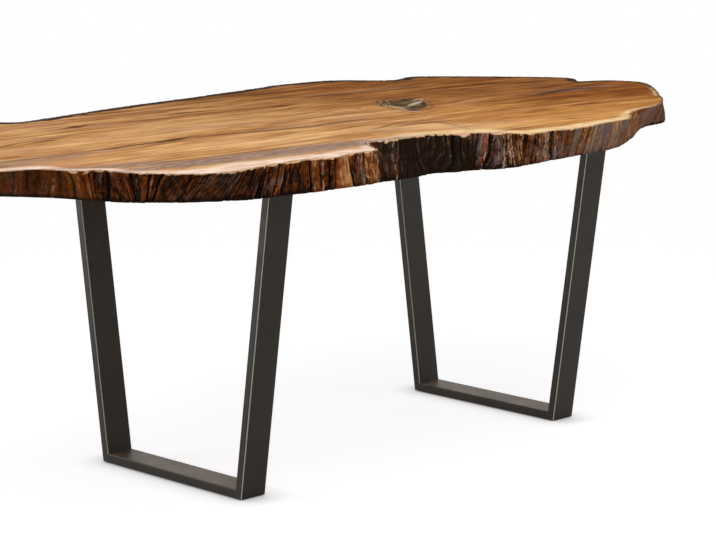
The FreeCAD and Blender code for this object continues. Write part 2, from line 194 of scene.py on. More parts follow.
# The wood's figure on the top, in metres on the slab: from, to, half width, strength
DARK_STREAKS = (
    ((-0.95, -0.105), (-0.66, -0.095), 0.012, 0.45), ((-0.7, -0.096), (-0.45, -0.08), 0.007, 0.75),
    ((-0.495, -0.086), (-0.44, -0.07), 0.018, 1.0), ((-0.655, -0.098), (-0.635, -0.096), 0.012, 0.9),
    ((-0.43, -0.085), (-0.25, -0.088), 0.006, 0.6), ((-0.27, -0.095), (-0.095, -0.121), 0.012, 0.6),
    ((-0.105, -0.122), (-0.085, -0.119), 0.012, 0.6), ((-0.095, -0.121), (0.05, -0.1), 0.012, 0.38),
    ((-0.78, 0.085), (-0.58, 0.125), 0.006, 0.7), ((-0.7, 0.08), (-0.64, 0.096), 0.008, 0.9),
    ((-0.84, 0.072), (-0.77, 0.082), 0.009, 0.75), ((-0.5, 0.229), (-0.46, 0.236), 0.016, 1.0),
    ((-0.44, 0.195), (-0.25, 0.222), 0.005, 0.45), ((-0.3, 0.262), (-0.06, 0.25), 0.007, 0.7),
    ((-0.17, 0.265), (-0.13, 0.262), 0.011, 0.85), ((-0.06, 0.245), (0.12, 0.2), 0.008, 0.6),
    ((0.085, 0.2), (0.115, 0.205), 0.011, 1.0), ((-0.16, -0.02), (0.22, 0.002), 0.005, 0.55),
    ((-0.15, -0.022), (-0.11, -0.018), 0.008, 0.75), ((0.14, 0.35), (0.4, 0.27), 0.014, 0.5),
    ((0.36, 0.27), (0.55, 0.265), 0.012, 0.55), ((0.6, 0.215), (0.97, 0.15), 0.01, 0.55),
    ((0.62, 0.212), (0.71, 0.214), 0.012, 0.75), ((0.78, 0.215), (0.84, 0.2), 0.014, 0.65),
    ((0.86, 0.155), (0.93, 0.145), 0.014, 0.7), ((0.735, -0.048), (0.8, -0.028), 0.015, 1.0),
    ((0.79, -0.029), (0.86, -0.028), 0.018, 0.85), ((0.85, -0.028), (0.91, -0.055), 0.016, 0.75),
    ((0.4, -0.285), (0.5, -0.274), 0.01, 0.55), ((0.56, -0.275), (0.68, -0.25), 0.012, 0.45),
    ((-0.05, -0.243), (0.09, -0.198), 0.006, 0.7), ((0.144, -0.212), (0.126, -0.319), 0.007, 0.32),
    ((0.42, -0.06), (0.6, -0.03), 0.01, 0.35), ((0.05, 0.43), (0.45, 0.42), 0.014, 0.45),
    ((-0.35, 0.365), (0.1, 0.4), 0.012, 0.4), ((0.45, -0.16), (0.85, -0.2), 0.009, 0.35),
    ((-0.7, 0.2), (-0.52, 0.235), 0.006, 0.35), ((-0.72, -0.322), (-0.2, -0.338), 0.006, 0.55),
)
MAUVE_STREAKS = (
    ((-0.84, -0.285), (-0.64, -0.366), 0.034, 0.85), ((-0.74, -0.374), (-0.18, -0.388), 0.05, 1.0),
    ((-1.0, -0.135), (-0.74, -0.115), 0.045, 0.6), ((-0.25, -0.09), (0.02, -0.112), 0.026, 0.32),
    ((-0.048, -0.293), (0.085, -0.229), 0.011, 0.3), ((0.085, -0.229), (0.146, -0.212), 0.013, 0.32),
    ((0.146, -0.212), (0.141, -0.26), 0.012, 0.3), ((0.141, -0.26), (0.097, -0.39), 0.012, 0.28),
    ((-0.2, 0.0), (0.12, 0.01), 0.012, 0.25), ((-0.62, -0.1), (-0.4, -0.085), 0.02, 0.3),
    ((0.3, 0.33), (0.6, 0.29), 0.03, 0.25), ((0.74, -0.03), (0.94, -0.04), 0.03, 0.45),
)
PALE_STREAKS = (
    ((0.04, -0.3), (0.12, -0.33), 0.06, 0.7), ((0.1, -0.38), (0.24, -0.42), 0.045, 0.55),
    ((-0.6, -0.24), (0.0, -0.225), 0.028, 0.4), ((-0.55, 0.05), (-0.1, 0.11), 0.07, 0.25),
    ((0.22, -0.43), (0.52, -0.43), 0.045, 0.4), ((0.46, -0.37), (0.64, -0.4), 0.05, 0.45),
    ((-0.85, -0.02), (-0.3, 0.01), 0.05, 0.2),
)
# How streaks sway, fade beyond their ends and narrow towards them
STREAK_LUMPS = (0.09, 0.05)
STREAK_SEED = 31
STREAK_SWING = 0.012
STREAK_FADE = 2.5
STREAK_TIP = 0.45

# The knot: place, turn, half sizes, how pointed its two sides are, and its finer mesh
KNOT_PLACE = (0.338, 0.022)
KNOT_ANGLE = math.radians(45.0)
KNOT_HALF_LENGTH = 0.134
KNOT_HALF_WIDTH = (0.041, 0.060)
KNOT_POINTED = (1.70, 1.15)
KNOT_ROOM = 0.19
KNOT_SKIRT = 1.5
KNOT_SWING = 0.004
KNOT_WOBBLE = 0.16
KNOT_FACETS = (
    ((0.329, 0.013), (0.402, 0.048), 0.0075, 0.9), ((0.415, 0.078), (0.44, 0.08), 0.009, 0.6),
    ((0.284, 0.027), (0.273, -0.019), 0.011, 0.75), ((0.223, -0.046), (0.244, -0.088), 0.014, 0.35),
)
FACET_SEED = 45
KNOT_CLEFTS = (
    ((0.38, 0.096), (0.407, 0.089), 0.024, 0.85), ((0.319, 0.049), (0.317, 0.014), 0.014, 0.95),
    ((0.305, -0.022), (0.343, -0.012), 0.012, 0.55), ((0.278, -0.037), (0.27, -0.063), 0.014, 0.75),
    ((0.409, 0.052), (0.363, -0.006), 0.01, 0.8),
)
CLEFT_SEED = 46
KNOT_TAIL = (0.314, 0.080)
KNOT_TAIL_REACH = (0.070, 0.028)
# How deep the top lies at the knot and at dark streaks, and where the knot's edge sinks
KNOT_SINK = 0.0012
CRACK_SINK = 0.0008
SINK_EDGE = (1.05, 0.80)

# The grain: how it parts round the knot, bows along the slab, swirls at the waist and sways
PARTING_SIZE = (0.20, 0.09)
PARTING_LEAST = 0.12
PARTING_REACH = (0.34, 0.20)
PARTING_PUSH = (0.30, 0.85)
GRAIN_BOW = (0.10, 1.1)
SWIRL_PLACE = (0.13, -0.30)
SWIRL_SIZE = (0.13, 0.09)
SWIRL_SHIFT = 0.045
GRAIN_DRAG = 0.2
# Size of each sway, then its lump along and across in metres, and seed
GRAIN_SWAYS = ((0.050, 0.55, 0.40, 21), (0.028, 0.16, 0.10, 22), (0.010, 0.06, 0.04, 23))

# Heartwood, whose patches also paint shade towards the back right: strength of each patch, where it rises
# along the slab and where it rises across it
HEART_BASE = 0.08
HEART_AND_SHADE_PATCHES = (
    (0.70, ((-0.3, 0.8),), (-0.45, -0.10)),
    (0.18, (), (-0.20, 0.45)),
    (0.24, ((0.50, 0.10), (-0.55, -0.20)), (0.12, 0.30)),
    (0.25, ((0.66, 0.85),), (0.10, -0.10)),
)
HEART_CLOUDS = 0.35
# Sapwood on the top: place along the edge and width
SAP_STATIONS = (
    (0.0, 0.0), (2.8, 0.0), (3.0, 0.045), (3.15, 0.05), (3.3, 0.036), (3.45, 0.053), (3.55, 0.083),
    (3.75, 0.088), (3.88, 0.078), (3.98, 0.05), (4.03, 0.028), (4.1, 0.018), (4.25, 0.055),
    (4.4, 0.075), (4.55, 0.07), (4.75, 0.052), (4.9, 0.038), (5.05, 0.018), (5.15, 0.012), (5.3, 0.014),
    (5.42, 0.014), (5.55, 0.014), (5.65, 0.01), (5.7, 0.0),
)
# Bark that shows as a dark ring on the top: place along the edge and width
RIM_STATIONS = (
    (0.0, 0.024), (0.12, 0.028), (0.2, 0.03), (0.62, 0.034), (0.75, 0.034), (2.3, 0.034), (2.7, 0.02),
    (3.05, 0.003), (5.13, 0.003), (5.2, 0.012), (5.3, 0.013), (5.44, 0.007), (5.55, 0.009), (5.7, 0.02),
)
# These two bands' least share of width with what noise adds to it, and where they fade
SAP_SPREAD = (0.75, 0.5)
SAP_FADE = (0.55, 1.0)
RIM_SPREAD = (0.7, 0.6)
RIM_FADE = (0.75, 1.05)
LEAST_WIDTH = 1e-4
# Noises on the top: lump along and across in metres, seed
SAP_LUMPS = (0.07, 0.07, 41)
HEART_LUMPS = (0.40, 0.12, 42)
KNOT_LUMPS = (0.02, 0.02, 43)
RIM_LUMPS = (0.025, 0.025, 44)

# Noises of the looks: lumps per metre on each axis, then detail, its roughness and bend where they matter
BARK_NOISES = {
    "fibre": ((240, 24, 0), 4, 0.65, 0.5),
    "mottle": ((95, 75, 0), 4, 0.65, 0.6),
    "patch": ((32, 26, 0), 3),
    "moss": ((44, 21, 0), 2, 0.5, 0.8),
    "thread": ((520, 34, 0), 3, 0.6, 0.3),
    "sliver": ((320, 46, 0), 2, 0.5, 0.5),
    "column": ((75, 6, 0), 2),
    "speck": ((700, 300, 0), 2),
}
BARK_CELLS = (80, 28, 0)
CELL_SWAY = 0.9
CELL_DRIFT = 1.3
WOOD_NOISES = {
    "broad": ((1.2, 24, 0), 4, 0.62, 0.25),
    "streak": ((5, 70, 0), 3, 0.60, 0.3),
    "fine": ((16, 620, 0), 3, 0.6),
    "pores": ((60, 1500, 0), 2),
    "contour": ((1.6, 40, 0), 2, 0.5, 0.3),
    "presence": ((4, 16, 0), 2),
    "blotch": ((7, 13, 0), 3),
    "fleck": ((12, 95, 0), 2, 0.5, 0.4),
    "rose": ((3, 11, 0), 3),
    "clouds": ((16, 34, 0), 3, 0.6, 0.5),
    "mauve": ((30, 110, 0), 4, 0.65, 0.6),
}
KNOT_NOISES = {
    "dots": ((26, 170, 0), 2, 0.5, 0.6),
    "eye": ((30, 48, 0), 3, 0.6, 0.6),
}
HALO_NOISE = ((7, 0, 0), 2)
SAWN_NOISES = {
    "broad": ((2, 30, 0), 3, 0.55, 0.2),
    "fine": ((14, 420, 0), 3),
}
SAW_NOISE = ((160, 3, 0), 2)
STEEL_NOISES = {
    "cloud": ((9, 9, 9), 4),
    "mottle": ((60, 60, 60), 3),
    "skin": ((1100, 1100, 1100), 1),
}
# Where most of a noise's values lie
MOST = (0.3, 0.7)
# Sheen of each surface, and depth of its finest skin in metres
BARK_SHEEN, WOOD_SHEEN, STEEL_SHEEN = 0.02, 0.04, 0.17
BARK_SKIN, WOOD_SKIN, SAWN_SKIN, STEEL_SKIN = 0.0016, 0.0002, 0.0004, 0.00012
# Sockets of the mix node that carry colours: factor, first, second and result
MIX_FACTOR, MIX_FIRST, MIX_SECOND, MIX_RESULT = 0, 6, 7, 2

# Stage: the floor's glow and shade at the near and far end of its fade, in metres from the middle
FLOOR_REACH = 40.0
FLOOR_COLOUR = (0.86, 0.86, 0.86, 1.0)
FLOOR_GLOW = (0.78, 1.0)
FLOOR_TINT = (0.97, 1.0, 1.07)
FLOOR_SHADE = (0.42, 0.0)
# Reach of the painted contact shadow in the floor's glow, in metres
FLOOR_CONTACT_SHADOW = 0.07
FLOOR_FADE = (1.4, 3.0)
WORLD_LIGHT = 0.40
WHITE = (1.0, 1.0, 1.0, 1.0)
# Soft lamps: name, place, aim, size and power
SOFTBOXES = (
    ("overhead", (-0.6, -0.8, 2.9), (0.0, 0.0, 0.7), (3.2, 2.4), 42.0),
    ("left_back", (-2.6, 1.9, 0.7), (0.0, 0.0, 0.5), (1.8, 1.4), 44.0),
    ("front", (-1.2, -3.6, 1.6), (0.0, 0.0, 0.6), (2.4, 1.6), 16.0),
    ("right_front", (2.7, -2.3, 1.10), (0.3, 0.0, 0.4), (1.6, 0.5), 15.0),
)


def srgb(red, green, blue):
    """A colour named by its eight-bit screen values, as the linear colour that shaders take."""
    parts = []
    for value in (red, green, blue):
        share = value / 255.0
        parts.append(share / 12.92 if share <= 0.04045 else ((share + 0.055) / 1.055) ** 2.4)
    return (*parts, 1.0)


# Colours, and ramps of them by the value of a noise
DARK_BARK = srgb(30, 18, 10)
BLACK_BARK = srgb(10, 6, 4)
WARM_BARK = srgb(114, 56, 16)
GREY_BARK = srgb(112, 92, 84)
OLIVE_BARK = srgb(96, 70, 34)
TAN_BARK = srgb(204, 148, 96)
SEAM_BARK = srgb(200, 164, 136)
SAP_EDGE = srgb(226, 180, 138)
HONEY_STOPS = (
    (0.385, srgb(142, 88, 42)), (0.45, srgb(186, 130, 76)),
    (0.515, srgb(210, 156, 98)), (0.605, srgb(240, 194, 136)),
)
# Heartwood colours, which also serve as painted shade towards the back right of the top
HEART_AND_SHADE_STOPS = (
    (0.385, srgb(82, 43, 14)), (0.45, srgb(122, 70, 26)),
    (0.515, srgb(150, 91, 36)), (0.605, srgb(192, 128, 60)),
)
PALE_WOOD = srgb(240, 196, 134)
MAUVE_STOPS = ((0.36, srgb(114, 94, 86)), (0.50, srgb(142, 118, 106)), (0.64, srgb(176, 150, 134)))
SAP_WOOD = srgb(250, 224, 206)
SAP_GOLD = srgb(252, 220, 168)
RING_WOOD = srgb(112, 66, 30)
ROSE_WOOD = srgb(196, 142, 116)
AMBER_TINT = (1.0, 0.86, 0.60, 1.0)
RIM_BARK = srgb(40, 27, 18)
DARK_FIGURE = srgb(60, 31, 12)
KNOT_STOPS = (
    (0.30, srgb(58, 42, 26)), (0.45, srgb(96, 74, 48)),
    (0.56, srgb(134, 106, 74)), (0.70, srgb(80, 60, 38)),
)
KNOT_FACET = srgb(206, 184, 156)
KNOT_RIM = srgb(50, 34, 20)
TAIL_STOPS = ((0.42, srgb(48, 36, 26)), (0.52, srgb(98, 77, 58)), (0.62, srgb(178, 150, 120)))
SAWN_STOPS = ((0.34, srgb(148, 104, 66)), (0.50, srgb(186, 142, 98)), (0.66, srgb(210, 170, 124)))
STEEL_STOPS = ((0.35, srgb(30, 23, 16)), (0.65, srgb(44, 35, 24)))
# Painted highlight along the steel's arrises, and painted light on its upward faces
STEEL_ARRIS_HIGHLIGHT = srgb(196, 194, 188)
STEEL_TOP_LIGHT = srgb(122, 108, 90)
ZINC_STOPS = ((0.35, srgb(172, 174, 176)), (0.65, srgb(206, 208, 208)))
BRASS_STOPS = ((0.35, srgb(186, 150, 84)), (0.65, srgb(214, 180, 110)))
RUBBER_STOPS = ((0.35, srgb(22, 22, 22)), (0.65, srgb(38, 38, 38)))


def new_object(name, data):
    """A new object in the scene."""
    made = bpy.data.objects.new(name, data)
    bpy.context.scene.collection.objects.link(made)
    return made


# Repeatable noise

def lattice(column, row, seed):
    """A random value from 0 to 1 for each whole-number place."""
    mixed = (column * HASH_STEPS[0] + row * HASH_STEPS[1] + seed * HASH_STEPS[2]) & HASH_MASK
    for shift, factor in HASH_STIRS:
        mixed = ((mixed ^ (mixed >> shift)) * factor) & HASH_MASK
    return (mixed >> 8 & SHORT_MASK) / SHORT_MASK


def smooth_noise(across, up, seed, repeat=None):
    """Noise from 0 to 1 whose lumps are one unit wide; it closes on itself after repeat units across."""
    column = np.floor(across).astype(np.int64)
    row = np.floor(up).astype(np.int64)
    step_x = across - column
    step_y = up - row
    step_x = step_x * step_x * (3.0 - 2.0 * step_x)
    step_y = step_y * step_y * (3.0 - 2.0 * step_y)
    beside = column + 1
    if repeat:
        column = column % repeat
        beside = beside % repeat
    low = lattice(column, row, seed) * (1.0 - step_x) + lattice(beside, row, seed) * step_x
    high = lattice(column, row + 1, seed) * (1.0 - step_x) + lattice(beside, row + 1, seed) * step_x
    return low * (1.0 - step_y) + high * step_y


def edge_noise(place, height, length, lumps):
    """Noise round the closed edge, with lumps of about the given width along it and height up it."""
    lump, tall, seed = lumps
    repeat = max(1, round(length / lump))
    return smooth_noise(place / length * repeat, height / tall, seed, repeat)


def face_noise(spots, lumps):
    """Noise over the flat top, with lumps of the given size along and across."""
    lump_x, lump_y, seed = lumps
    return smooth_noise(spots[:, 0] / lump_x, spots[:, 1] / lump_y, seed)


def ease(low, high, values):
    """0 below low, 1 above high and a smooth rise between."""
    share = np.clip((values - low) / (high - low), 0.0, 1.0)
    return share * share * (3.0 - 2.0 * share)


def bell(values, middle, half_width):
    """1 at the middle, and a smooth fall to 0 on both sides of it."""
    return np.exp(-((values - middle) / half_width) ** 2)


def squares(offset, size):
    """Square of each flat offset's length, where size counts as one unit along and across."""
    return (offset[:, 0] / size[0]) ** 2 + (offset[:, 1] / size[1]) ** 2


# Outlines of the slab

def path_length(loop):
    """Length of a closed loop."""
    return np.linalg.norm(np.roll(loop, -1, axis=0) - loop, axis=1).sum()


def flat_loops(mesh, side, level):
    """Closed outlines of the level faces at one height, counter-clockwise from above, longest first."""
    spots = [tuple(round(c, SPOT_DIGITS) for c in vertex.co) for vertex in mesh.vertices]
    edges = {}
    for face in mesh.polygons:
        if face.normal.z * side > LEVEL_NORMAL and abs(face.center.z - level) < LEVEL_GAP:
            corners = [spots[i] for i in face.vertices]
            edges.update({edge: True for edge in zip(corners, corners[1:] + corners[:1])})
    after = {a: b for a, b in edges if (b, a) not in edges}
    loops = []
    while after:
        start, spot = after.popitem()
        loop = [start]
        while spot != start:
            loop.append(spot)
            spot = after.pop(spot)
        loops.append(np.array(loop)[::side, :2])
    return sorted(loops, key=path_length, reverse=True)


def resample(loop, count):
    """The closed loop again as count points, evenly spaced along it."""
    closed = np.vstack([loop, loop[:1]])
    reach = np.concatenate([[0.0], np.cumsum(np.linalg.norm(np.diff(closed, axis=0), axis=1))])
    wanted = np.arange(count) * reach[-1] / count
    return np.stack([np.interp(wanted, reach, closed[:, k]) for k in (0, 1)], axis=1)


def soften(values, width):
    """Gaussian average of a closed series, with width counted in samples."""
    count = len(values)
    keep = np.exp(-2.0 * (np.pi * np.fft.rfftfreq(count) * width) ** 2)
    shape = (-1,) + (1,) * (values.ndim - 1)
    return np.fft.irfft(np.fft.rfft(values, axis=0) * keep.reshape(shape), count, axis=0)


def outward(loop):
    """Unit normals that point out of a counter-clockwise loop."""
    along = np.roll(loop, -1, axis=0) - np.roll(loop, 1, axis=0)
    normal = soften(np.stack([along[:, 1], -along[:, 0]], axis=1), NORMAL_BLUR)
    return normal / np.linalg.norm(normal, axis=1, keepdims=True)


def partner(loop, other):
    """For each point of loop, the point of the other loop that lies below it, never running back."""
    count = len(other)
    even = np.arange(len(loop)) * count / len(loop)
    closest = np.array([np.argmin(((other - point) ** 2).sum(axis=1)) for point in loop])
    steps = (np.diff(closest, append=closest[:1]) + count // 2) % count - count // 2
    course = closest[0] + np.concatenate([[0], np.cumsum(steps)[:-1]]).astype(float)
    course = np.maximum.accumulate(course)
    course = course[0] + even + soften(course - course[0] - even, 2 * NORMAL_BLUR)
    low = np.floor(course).astype(int)
    share = (course - low)[:, None]
    return other[low % count] * (1.0 - share) + other[(low + 1) % count] * share


def slab_outlines(cad, bottom, top):
    """Outlines of the top and the underside, point for point, with the insert bores and the top's length."""
    upper = flat_loops(cad, SIDE_UP, top)[0]
    upper = np.roll(upper, -np.argmax(upper[:, 0]), axis=0)
    lower, *bores = flat_loops(cad, SIDE_DOWN, bottom)
    length = path_length(upper)
    count = round(length / EDGE_STEP)
    upper = soften(resample(upper, count), OUTLINE_BLUR)
    lower = partner(upper, soften(resample(lower, count), OUTLINE_BLUR))
    return upper, lower, bores, length


# Bark

def stations_at(place):
    """Roughness, warmth, lightness and lean of the bark at each place along the edge."""
    table = np.array(BARK_STATIONS)
    return [np.interp(place, table[:, 0], table[:, k]) for k in range(1, table.shape[1])]


def crack_list(length):
    """All the bark's cracks in order, the marked ones and seeded ones between: place, half width, depth."""
    rng = np.random.default_rng(BARK_SEED)
    marked = np.array([crack[0] for crack in MARKED_CRACKS])
    cracks = list(MARKED_CRACKS)
    place = 0.0
    while place < length - CRACK_GAP[1]:
        place += CRACK_GAP[0] + (CRACK_GAP[1] - CRACK_GAP[0]) * rng.random() ** 2
        share = rng.random() ** 3
        width = CRACK_WIDTH[0] + (CRACK_WIDTH[1] - CRACK_WIDTH[0]) * share
        depth = CRACK_DEPTH[0] + (CRACK_DEPTH[1] - CRACK_DEPTH[0]) * share
        in_block = SMOOTH_BLOCK[0] < place < SMOOTH_BLOCK[1]
        if np.abs(marked - place).min() > MARKED_ROOM and not in_block:
            cracks.append((place, width, depth))
    return np.array(sorted(cracks))


def bark_plates(run, height, length):
    """The plate of bark at each place: its number, the share of it passed, its cracks and random values."""
    cracks = crack_list(length)
    spots = np.concatenate([[cracks[-1, 0] - length], cracks[:, 0], [cracks[0, 0] + length]])
    whose = np.concatenate([[len(cracks) - 1], np.arange(len(cracks)), [0]])
    after = np.clip(np.searchsorted(spots, run), 1, len(spots) - 1)
    groove = np.zeros_like(run)
    for side in (after - 1, after):
        crack = cracks[whose[side]]
        fill = edge_noise(spots[side] % length, height, length, FILL_LUMPS)
        shape = 1.0 / (1.0 + ((run - spots[side]) / crack[..., 1]) ** 4)
        groove = np.maximum(groove, shape * crack[..., 2] * (CRACK_FILL[0] + CRACK_FILL[1] * fill))
    number = whose[after - 1]
    # The three chances of a plate are for its depth, lightness and warmth
    return SimpleNamespace(
        number=number,
        share=(run - spots[after - 1]) / (spots[after] - spots[after - 1]),
        groove=groove,
        chance=np.random.default_rng(PLATE_SEED).random((len(cracks), 3))[number],
        tooth=np.random.default_rng(TOOTH_SEED).random(len(cracks))[number],
    )


def plate_relief(run, height, plate, by_place, by_run):
    """How deep the bark's surface lies below its proudest plates."""
    flake = smooth_noise(
        run / FLAKE_LUMPS[0] + FLAKE_SHIFT[0] * plate.number,
        height / FLAKE_LUMPS[1] + FLAKE_SHIFT[1] * plate.chance[..., 1],
        FLAKE_LUMPS[2],
    )
    flake = np.floor(flake * FLAKE_LEVELS) / (FLAKE_LEVELS - 1)
    fibre = FIBRE_SHARES[0] * by_run(FIBRE_LUMPS) + FIBRE_SHARES[1] * by_run(FINE_LUMPS)
    return (
        SWELL_DEPTH * by_place(SWELL_LUMPS)
        + PLATE_DEPTH * plate.chance[..., 0]
        + CROWN_DEPTH * (2.0 * plate.share - 1.0) ** 2
        + FLAKE_DEPTH * flake
        + FIBRE_DEPTH * fibre
        + plate.groove
        - BARK_PROUD
    )


def chipped_lip(place, below_top, rough, tooth, by_place, by_run):
    """Where the bark's upper lip has chipped off: 1 on bare wood, 0 on bark."""
    chips = by_place(SMALL_CHIP_LUMPS) * by_place(LARGE_CHIP_LUMPS)
    chips = (0.5 * chips + 0.5 * tooth ** 2) ** LIP_POWER * rough ** 2
    torn = TORN_LIP[2] * bell(place, *TORN_LIP[:2]) * ease(*TORN_BREAK, by_run(TORN_LUMPS))
    lip = LIP_DEPTH[0] + (LIP_DEPTH[1] - LIP_DEPTH[0]) * chips + torn
    return ease(*LIP_EDGE, below_top / lip)


def pale_seams(run, by_place, by_run):
    """Strength of the thin pale seams between plates, frayed and broken by noise."""
    frayed = run + SEAM_FRAY * (by_place(FRAY_LUMPS) - 0.5)
    seam = np.zeros_like(run)
    for spot, half_width, strength in PALE_SEAMS:
        seam = np.maximum(seam, strength * bell(frayed, spot, half_width))
    return seam * ease(*SEAM_BREAK, by_run(SEAM_LUMPS))


def bark_relief(place, height, length, tall):
    """How far the bark lies inside the slab's outline on a grid, with what its material needs there."""
    rough, warm, light, lean = stations_at(place)
    by_place = partial(edge_noise, place, height, length)
    fibre_place = place - lean * (height - tall / 2.0)
    fibre_place = fibre_place + CRACK_SWAY * (by_place(SWAY_LUMPS) - 0.5)
    fibre_place = fibre_place + CRACK_JITTER * (by_place(JITTER_LUMPS) - 0.5)
    run = fibre_place % length
    by_run = partial(edge_noise, run, height, length)
    plate = bark_plates(run, height, length)
    peel = chipped_lip(place, tall - height, rough, plate.tooth, by_place, by_run)

    relief = rough * plate_relief(run, height, plate, by_place, by_run)
    bulge = 4.0 * (height / tall) * (1.0 - height / tall)
    relief = relief - WALL_BULGE[2] * bulge * bell(place, *WALL_BULGE[:2])
    relief = relief + WORN_RIM[2] * ease(WORN_FROM, 1.0, height / tall) * bell(place, *WORN_RIM[:2])
    relief = relief + LIP_SINK * peel
    relief = relief + ease(FOOT_ROUND[0], 0.0, height) * FOOT_ROUND[1] * by_place(FOOT_LUMPS)

    around = soften(relief, HOLLOW_WIDTH / EDGE_STEP)
    hollow = np.clip((relief - around) / HOLLOW_DEPTH, -1.0, 1.0)
    tone = PLATE_TONE[0] * plate.chance[..., 1] - PLATE_TONE[1]
    tone = light + tone * (PLATE_TONE_LEAST + light)
    tone = tone - FOOT_SHADE[1] * ease(FOOT_SHADE[0], 0.0, height)
    hue = warm + PLATE_HUE * (plate.chance[..., 2] - 0.5)
    seam = pale_seams(run, by_place, by_run)
    values = {
        "bark_place": (fibre_place, height, np.zeros_like(height)),
        "bark_tone": (hue, tone, peel),
        "bark_kind": (rough, seam, hollow),
    }
    return relief, {name: np.stack(three, axis=2).reshape(-1, 3) for name, three in values.items()}


def slab_wall(upper, lower, length, low_corner, high_corner):
    """The bark's grid of points round the edge and up it, with the values that its material needs."""
    count = len(upper)
    bottom = low_corner.z
    tall = high_corner.z - bottom
    levels = np.concatenate([
        np.linspace(0.0, tall - LIP_ROOM, BARK_ROWS, endpoint=False),
        np.linspace(tall - LIP_ROOM, tall - RIM_ROUND, LIP_ROWS),
        [tall],
    ])
    place, height = np.meshgrid(np.arange(count) * length / count, levels, indexing="ij")
    relief, values = bark_relief(place, height, length, tall)
    relief[:, -1] = relief[:, -2] + RIM_ROUND
    share = (height / tall)[..., None]
    flat = lower[:, None] * (1.0 - share) + upper[:, None] * share
    out = outward(lower)[:, None] * (1.0 - share) + outward(upper)[:, None] * share
    flat = np.clip(flat - out * relief[..., None], low_corner[:2], high_corner[:2])
    return np.concatenate([flat, height[..., None] + bottom], axis=2), values


# Top of the slab

def streak_mask(spots, streaks, seed, swing=STREAK_SWING):
    """Strength at each spot of long soft streaks, each from one point to another."""
    strongest = np.zeros(len(spots))
    sway = swing * (face_noise(spots, (*STREAK_LUMPS, seed)) - 0.5)
    for start, end, half_width, strength in streaks:
        course = np.subtract(end, start)
        reach = np.linalg.norm(course)
        offset = spots - start
        share = (offset @ course) / reach ** 2
        inside = np.clip(share, 0.0, 1.0)
        across = (offset[:, 1] * course[0] - offset[:, 0] * course[1]) / reach + sway
        beyond = (share - inside) * reach / STREAK_FADE
        belly = np.sqrt(np.clip(4.0 * inside * (1.0 - inside), 0.0, 1.0))
        pinch = half_width * (STREAK_TIP + (1.0 - STREAK_TIP) * belly)
        streak = strength * np.exp(-(across / pinch) ** 4 - (beyond / half_width) ** 2)
        strongest = np.maximum(strongest, streak)
    return strongest


def knot_axes(offset):
    """Lengths along and across the knot for each offset on the slab."""
    turn, rise = math.cos(KNOT_ANGLE), math.sin(KNOT_ANGLE)
    return offset[:, 0] * turn + offset[:, 1] * rise, offset[:, 1] * turn - offset[:, 0] * rise


def knot_space(spots):
    """Each spot along and across the knot, and its radius where the knot's pointed outline has radius 1."""
    along, across = knot_axes(spots - KNOT_PLACE)
    drawn = (across > 0.0).astype(int)
    pointed = np.array(KNOT_POINTED)[drawn]
    half_width = np.array(KNOT_HALF_WIDTH)[drawn]
    radius = np.abs(along / KNOT_HALF_LENGTH) ** pointed + np.abs(across / half_width) ** pointed
    return along, across, radius ** (1.0 / pointed)


def grain_space(spots):
    """Places along and across the grain, which bends round the knot and sways along the slab."""
    x, y = spots[:, 0], spots[:, 1]
    offset = spots - KNOT_PLACE
    gap = np.maximum(squares(offset, PARTING_SIZE), PARTING_LEAST)
    push = np.clip(PARTING_PUSH[0] / gap, 0.0, PARTING_PUSH[1])
    bend = -offset[:, 1] * push * np.exp(-squares(offset, PARTING_REACH))
    sway = sum(size * (face_noise(spots, lumps) - 0.5) for size, *lumps in GRAIN_SWAYS)
    bow = GRAIN_BOW[0] * y * np.cos(np.clip(x, -1.0, 1.0) * GRAIN_BOW[1])
    swirl = SWIRL_SHIFT * np.exp(-squares(spots - SWIRL_PLACE, SWIRL_SIZE))
    return np.stack([x + GRAIN_DRAG * sway, y + bend + sway + bow + swirl, np.zeros(len(x))], axis=1)


def heartwood_and_shade(spots):
    """How much of the brown heartwood shows at each spot, with painted shade towards the back right in the
    same mask.
    """
    x, y = spots[:, 0], spots[:, 1]
    heart_and_shade = np.full(len(spots), HEART_BASE)
    for strength, rises_along, rise_across in HEART_AND_SHADE_PATCHES:
        patch = strength * ease(*rise_across, y)
        for rise in rises_along:
            patch = patch * ease(*rise, x)
        heart_and_shade = heart_and_shade + patch
    return np.clip(heart_and_shade + HEART_CLOUDS * (face_noise(spots, HEART_LUMPS) - 0.5), 0.0, 1.0)


def edge_band(spots, gap, edge, stations, lumps, spread, fade):
    """1 in a band along the edge and 0 beyond it, with the band's width from stations and uneven by noise."""
    width = np.interp(edge, *np.array(stations).T)
    width = width * (spread[0] + spread[1] * face_noise(spots, lumps))
    return 1.0 - ease(*fade, gap / np.maximum(width, LEAST_WIDTH))


